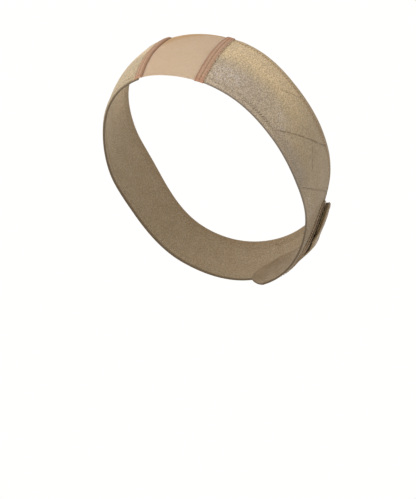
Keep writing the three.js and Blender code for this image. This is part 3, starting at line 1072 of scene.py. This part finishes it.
def tape_height(side, across, rise, face):
    """Height of the tape's base or top. The top is ribbed, and thin at the tape's ends."""
    at = column(TAPE, "across")
    base = np.interp(across, at, column(TAPE, "base"))
    if face == "base":
        return base
    top = np.interp(across, at, column(TAPE, "top"))
    bottom, end = tape_ends(side)
    to_end = np.minimum(rise - bottom, end - rise)
    full = 1 - TAPE_END_PRESSED * (1 - smooth(to_end, 0, TAPE_END))
    return base + (top - base + RIB_DEPTH * ribs(rise)) * full


def tape_mesh(side):
    rise = np.arange(*tape_ends(side), TAPE_STEP)[:, None]
    across = np.linspace(TAPE[0]["across"], TAPE[-1]["across"], TAPE_COLUMNS)[None, :]
    rise, across = (a.copy() for a in np.broadcast_arrays(rise, across))
    outer, inner = (tape_point(side, across, rise, tape_height(side, across, rise, face))
                    for face in ("top", "base"))
    numbers = {"across_mm": across, "off_middle_mm": np.abs(across), "rise_mm": rise, "rib": ribs(rise)}
    return *wall(outer, inner), on_both_faces(numbers)


print("near tape's ends, in mm up from the band's lower edge:", [round(v, 1) for v in tape_ends(1)])

# %% [markdown]
# The tape is a dull red brown, redder at its ends and darker along its middle and its borders. Vertex
# paint could hold those tones, but a table says where each one lies. Small flecks break up the colour
# between the ribs.

# %% Tape finish
TAPE_BROWN = (184, 150, 124)
TAPE_DARK = (150, 112, 88)
TAPE_RED = (184, 132, 106)
TAPE_TONES = tones(
    ("upper end", TAPE_RED, 0.7, [("rise_mm", 46, 58)]),
    ("lower end", TAPE_RED, 0.6, [("rise_mm", 6, 0)]),
    ("middle", TAPE_DARK, 0.3, [("off_middle_mm", 0.9, 0.2)]),
    ("lace side", TAPE_DARK, 0.7, [("across_mm", -1.6, -3.0)]),
    ("velour side", TAPE_DARK, 0.6, [("across_mm", 2.7, 3.3)]),
)
TAPE_WEAVE = dict(low=-1, high=1, start=0.94, end=1.05)
TAPE_FLECK = dict(size_mm=0.8, detail=2.0, low=0.33, high=0.67, start=0.86, end=1.12)
TAPE_BUMP = dict(strength=0.5, depth_mm=0.2, size_mm=0.4, detail=2.0)


def tape_finish():
    tape = Finish("seam_tape", roughness=0.8)
    weave = tape.ramp(tape.kept("rib"), **TAPE_WEAVE)
    value = tape.math("MULTIPLY", weave, tape.fleck(**TAPE_FLECK))
    return tape.worn(tape.brightened(tape.layered(TAPE_BROWN, TAPE_TONES), value), **TAPE_BUMP)


SEAM_TAPE = tape_finish()
for node, side in (("seam_tape_left", 1), ("seam_tape_right", -1)):
    points, faces, numbers = tape_mesh(side)
    add_piece(node + "_woven", points, faces, "seam_tape", SEAM_TAPE, numbers)
    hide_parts(node)

# %% [markdown]
# A row of dashes runs down the middle of each tape, and a finer one near each border. Painted dashes
# would look flat, so they are threads. Each lies at the height of the surface below it and arches a
# little over it.

# %% Stitches of the tapes
STITCH_STOPS = 5
STITCH_RUN = np.linspace(0, 1, STITCH_STOPS)[None, :]
STITCH_ARCH = 0.12 * np.sin(np.pi * STITCH_RUN)
STITCH_RADIUS = 0.24
TAPE_STITCH_PITCH = 2.6
TAPE_STITCH_LENGTH = 1.7
TAPE_STITCH_FROM = 1.4
TAPE_STITCH_SHORT = 2.6
TAPE_BORDER = 2.25
BORDER_RADIUS = 0.16


def tape_row(side, across):
    """Lines of a row of stitches along a tape, at a distance from its middle."""
    bottom, top = tape_ends(side)
    first = np.arange(bottom + TAPE_STITCH_FROM, top - TAPE_STITCH_SHORT, TAPE_STITCH_PITCH)[:, None]
    rise = first + TAPE_STITCH_LENGTH * STITCH_RUN
    place = np.full(rise.shape, across)
    return tape_point(side, place, rise, tape_height(side, place, rise, "top") + STITCH_ARCH)


middle_rows = np.concatenate([tape_row(side, 0.0) for side in (1, -1)])
borders = [(side, across) for side in (1, -1) for across in (-TAPE_BORDER, TAPE_BORDER)]
border_rows = np.concatenate([tape_row(*border) for border in borders])
tape_middle_stitches = add_piece("tape_middle_stitches", *tubes(middle_rows, STITCH_RADIUS), "seam_tape",
                                 thread_finish("dark_thread", (162, 128, 104), (122, 90, 70)))
tape_border_stitches = add_piece("tape_border_stitches", *tubes(border_rows, BORDER_RADIUS), "seam_tape",
                                 thread_finish("brown_thread", (178, 142, 116), (146, 110, 86)))

# %% [markdown]
# Where velour runs under a tape, the cut edge pushes a few tufts of pile over the border. A hair system
# could grow them, but short tubes are enough. A fixed seed gives the same tufts in every run.

# %% Tufts of pile over the tapes
TUFT_SCATTER = np.random.default_rng(5)
TUFT_COUNT = 90
TUFT_STOPS = 4
TUFT_RADIUS = 0.13
TUFT_BASE = 1.45
TUFT_ARCH = 0.8
TUFT_BEND = 0.6 * np.pi
TUFT_ROOT = 4.0
TUFT_ROOT_SPREAD = (-0.3, 0.3)
TUFT_REACH = (0.4, 1.3)
TUFT_SLANT = (-0.7, 0.7)
TUFT_LOWEST = 2
TUFT_BELOW_TOP = 4


def tape_tufts(side):
    """Lines of short tufts of velour that lean over a tape's border on the wing's side."""
    spans = [(TUFT_LOWEST, tape_ends(side)[1] - TUFT_BELOW_TOP), TUFT_ROOT_SPREAD, TUFT_REACH, TUFT_SLANT]
    rise, off_root, reach, slant = (TUFT_SCATTER.uniform(*span, (TUFT_COUNT, 1)) for span in spans)
    t = np.linspace(0, 1, TUFT_STOPS)[None, :]
    height = TUFT_BASE + TUFT_ARCH * np.sin(TUFT_BEND * t) + np.zeros(rise.shape)
    return tape_point(side, TUFT_ROOT + off_root - reach * t, rise + slant * t, height)


tuft_lines = np.concatenate([tape_tufts(side) for side in (1, -1)])
velour_tufts = add_piece("velour_tufts", *tubes(tuft_lines, TUFT_RADIUS), "velour",
                         thread_finish("tuft_pile", (226, 212, 184), (196, 178, 148)))

# %% [markdown]
# Each hem is sewn with short stitches across it, on both faces. The pile hides most of them. In one place
# they show as dark dashes, which are painted shade where the stitches pull the cloth in. A second material
# would begin too suddenly there, so each tube keeps a number, worn, that says how much painted shade it has,
# and the finish darkens it by that number. The upper hems have a redder thread.

# %% Stitches of the hems
HEM_STITCHES = {
    "lower": {"share": 0.08, "pitch": 2.2, "slant": 0.3, "from": 6.0, "to": 3.4},
    "upper": {"share": 0.92, "pitch": 2.5, "slant": 0.8, "from": 5.4, "to": 4.3},
}
HEM_ROW_STARTS = 6
HEM_ROW_SHORT = 9
SHADED_STITCH_PLACE = 76.0
SHADED_STITCH_REACH = 11.0
SHADED_STITCH_STEPS = np.arange(-8, 9)
STITCH_SHADE_ELSEWHERE = 0.06
HIDDEN_THREAD = (186, 170, 144)
STITCH_SHADE_TONE = (92, 76, 58)
HEM_FLECK = {**SPUN, "start": 0.85, "end": 1.1}


def hem_row(wing, edge, inside=False, places=None):
    """Lines of a row of stitches along a hem of a wing, on its outer face or inside, evenly apart."""
    row = HEM_STITCHES[edge]
    finely = np.arange(WING_START, wing["end"], CLOTH_STEP)
    on_cloth = wing_place(wing, finely, np.full(finely.shape, row["share"]))[0]
    if places is None:
        places = np.arange(on_cloth[0] + HEM_ROW_STARTS, on_cloth[-1] - HEM_ROW_SHORT, row["pitch"])
    first = np.interp(places, on_cloth, finely)[:, None]
    along = first + row["slant"] * STITCH_RUN
    from_edge = row["from"] + (row["to"] - row["from"]) * STITCH_RUN
    share = from_edge / wing_width(wing, along)
    share = 1 - share if edge == "upper" else share
    if inside:
        height = hem_faces(from_edge, 1.0)[0] - STITCH_ARCH + np.zeros(along.shape)
    else:
        height = velour_height(wing, along, share) + STITCH_ARCH
    return wing_point(wing, along, share, height)


def hem_thread_finish():
    """Thread that the pile hides, darkened by painted shade where the stitches pull the cloth in."""
    thread = Finish("hem_thread", roughness=0.75)
    # painted shade darkens the thread by its kept number
    tone = thread.mixed(thread.kept("worn"), HIDDEN_THREAD, STITCH_SHADE_TONE)
    return thread.worn(thread.brightened(tone, thread.fleck(**HEM_FLECK)), **THREAD_BUMP)


shaded_places = SHADED_STITCH_PLACE + HEM_STITCHES["lower"]["pitch"] * SHADED_STITCH_STEPS
shaded_row = hem_row(WING_LEFT, "lower", places=shaded_places)
other_rows = [hem_row(wing, "lower") for wing in WINGS.values()]
for wing in WINGS.values():
    other_rows += [hem_row(wing, edge, inside=True) for edge in HEM_STITCHES]
hem_lines = np.concatenate([shaded_row, *other_rows])
# each stitch's painted shade: most in the one shaded place, a little elsewhere
worn = np.full(len(hem_lines), STITCH_SHADE_ELSEWHERE)
worn[:len(shaded_row)] = bell((shaded_places - SHADED_STITCH_PLACE) / SHADED_STITCH_REACH)
hem_stitches = add_piece("hem_stitches", *tubes(hem_lines, STITCH_RADIUS), "velour", hem_thread_finish(),
                         {"worn": np.repeat(worn, STITCH_STOPS * TUBE_SIDES)})
upper_lines = np.concatenate([hem_row(wing, "upper") for wing in WINGS.values()])
upper_stitches = add_piece("upper_stitches", *tubes(upper_lines, STITCH_RADIUS), "velour",
                           thread_finish("red_thread", (170, 136, 108), (138, 108, 84)))

# %% [markdown]
# The lap closes with hook and loop. The loop half, sewn on the near wing, is a brown fuzz of tiny
# arches. The hook half, under the tongue, is an olive brown sheet with bent bristles. A plane could be
# wrapped on the cloth, but the wings' functions say where their faces are. So each half is a thin wall
# laid by them, with places counted along the far wing.

# %% Sheets of the two closure patches
PATCH_STEP = 0.6


def under_tongue(along, share, below):
    """Point under the tongue's inner face, at a depth below it."""
    return wing_point(WING_RIGHT, along, share, -below)


def on_near_wing(along, share, above):
    """Point over the near wing's outer face."""
    rise = TONGUE_LOWER_OFF + share * TONGUE_WIDTH
    return cloth_point(set_back(share) - along, rise, VELOUR_WALL + above)


HOOK_PATCH = dict(short_of_end=1, length=32, lower=0.12, upper=0.88, backing=(0.1, 0.8), laid=under_tongue)
LOOP_PATCH = dict(short_of_end=-2, length=39, lower=-0.1, upper=0.62, backing=(0.1, 1.05), laid=on_near_wing)


def patch_grid(patch, step):
    """Places along the far wing and shares of its width that cover a patch."""
    last = TONGUE_END - patch["short_of_end"]
    rows = int(patch["length"] / step)
    columns = int((patch["upper"] - patch["lower"]) * TONGUE_WIDTH / step)
    along = np.linspace(last - patch["length"], last, rows)
    share = np.linspace(patch["lower"], patch["upper"], columns)
    return np.meshgrid(along, share, indexing="ij")


def patch_depth(patch, along):
    """How far into the lap a place lies, in mm from the end of a patch."""
    return TONGUE_END - patch["short_of_end"] - along


def patch_sheet(patch):
    along, share = patch_grid(patch, PATCH_STEP)
    outer, inner = (patch["laid"](along, share, np.full(along.shape, height)) for height in patch["backing"])
    return *wall(outer, inner), on_both_faces({"depth_mm": patch_depth(patch, along)})


print("loop half is", LOOP_PATCH["length"], "mm long, hook half", HOOK_PATCH["length"], "mm")

# %% [markdown]
# A hook rises straight and bends over at its tip. A loop is a small arch, and stands taller outside the
# lap, where it is not pressed down. Particles could place them, but tubes on one grid are enough,
# scattered so that no two stand quite alike.

# %% Hooks and loops
SCATTER = np.random.default_rng(11)
SCATTER_SHARE = 0.3
BRISTLE_SINKS = 0.05
BRISTLE_RADIUS = 0.11
LOOP_PITCH = 0.9
LOOP_RISE = 0.95
LOOP_RISE_VARIES = (0.75, 1.1)
LOOP_SPAN = 1.1
LOOP_STOPS = 7
LOOP_FREE = 0.55
LOOP_FREE_DEPTH = (1.5, 4)
LOOP_FREE_SHARE = (0.36, 0.5)
HOOK_PITCH = 1.3
HOOK_LINE = [(0.0, 0.0), (0.0, 0.35), (0.06, 0.58), (0.22, 0.72), (0.4, 0.64), (0.44, 0.48)]


def bristle_roots(patch, pitch):
    """Scattered places on a patch, as columns, and a random direction for each."""
    along, share = (grid[1:-1, 1:-1].ravel()[:, None] for grid in patch_grid(patch, pitch))
    along = along + SCATTER.uniform(-SCATTER_SHARE, SCATTER_SHARE, along.shape) * pitch
    share = share + SCATTER.uniform(-SCATTER_SHARE, SCATTER_SHARE, share.shape) * pitch / TONGUE_WIDTH
    return along, share, SCATTER.uniform(0, 2 * np.pi, along.shape)


def bristles(patch, roots, off, height):
    """Lines of bristles from their roots, by how far they go off them and rise."""
    along, share, turn = roots
    height = patch["backing"][1] - BRISTLE_SINKS + height + np.zeros(along.shape)
    return patch["laid"](along + off * np.cos(turn), share + off * np.sin(turn) / TONGUE_WIDTH, height)


def loop_lines():
    roots = bristle_roots(LOOP_PATCH, LOOP_PITCH)
    along, share = roots[:2]
    t = np.linspace(0, 1, LOOP_STOPS)[None, :]
    depth = patch_depth(LOOP_PATCH, along)
    free = (1 - smooth(depth, *LOOP_FREE_DEPTH)) * (1 - smooth(share, *LOOP_FREE_SHARE))
    tall = LOOP_RISE * SCATTER.uniform(*LOOP_RISE_VARIES, along.shape) * (1 + LOOP_FREE * free)
    return bristles(LOOP_PATCH, roots, LOOP_SPAN * (t - 0.5), tall * np.sin(np.pi * t)), depth


def hook_lines():
    return bristles(HOOK_PATCH, bristle_roots(HOOK_PATCH, HOOK_PITCH), *np.array(HOOK_LINE).T)


print("loops are about", LOOP_RISE, "mm high, hooks", max(height for _, height in HOOK_LINE), "mm")

# %% [markdown]
# Little light gets between the loops, so their fuzz looks darker than its thread, most of all inside the
# lap. So the thread has a pale even tone there, and a mix of light and dark at the open end. The hook
# half is a plain olive brown.

# %% Closure finishes
LOOP_TONES = tones(("inside the lap", (168, 147, 122), 0.95, [("depth_mm", 0, 4.5)]))

LOOP_TAPE = thread_finish("loop_tape", (172, 150, 124), (136, 118, 96), 0.85, LOOP_TONES)
HOOK_TAPE = thread_finish("hook_tape", (142, 124, 94), (116, 100, 74))
points, faces, numbers = patch_sheet(LOOP_PATCH)
loop_sheet = add_piece("loop_sheet", points, faces, "loop_tape", LOOP_TAPE, numbers)
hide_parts("loop_patch")
lines, depth = loop_lines()
loop_pile = add_piece("loop_pile", *tubes(lines, BRISTLE_RADIUS), "loop_tape", LOOP_TAPE,
                      {"depth_mm": np.repeat(depth, LOOP_STOPS * TUBE_SIDES)})
points, faces, numbers = patch_sheet(HOOK_PATCH)
hook_sheet = add_piece("hook_sheet", points, faces, "hook_tape", HOOK_TAPE, numbers)
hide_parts("hook_patch")
hook_bristles = add_piece("hook_bristles", *tubes(hook_lines(), BRISTLE_RADIUS), "hook_tape", HOOK_TAPE)

# %% [markdown]
# Each cloth was cut flat before it was sewn. We work out the size of each wing's cut and print it.

# %% Flat sizes of the cloths
WIDTH_SAMPLES = 200


def flat_wing(wing):
    """Width, length and area of a wing's cut, in metres."""
    width = wing_width(wing, np.linspace(WING_START, wing["end"], WIDTH_SAMPLES)) * MM
    length = (wing["end"] - WING_START) * MM
    return (float(width.max()), length), float(width.mean() * length)


for node, extras in (("wing_left", [hem_stitches, upper_stitches, velour_tufts]), ("wing_right", [])):
    flat, area = flat_wing(WINGS[node])
    print(node, "is cut", [round(v / MM) for v in flat], "mm,", round(area * 1e4), "square cm")
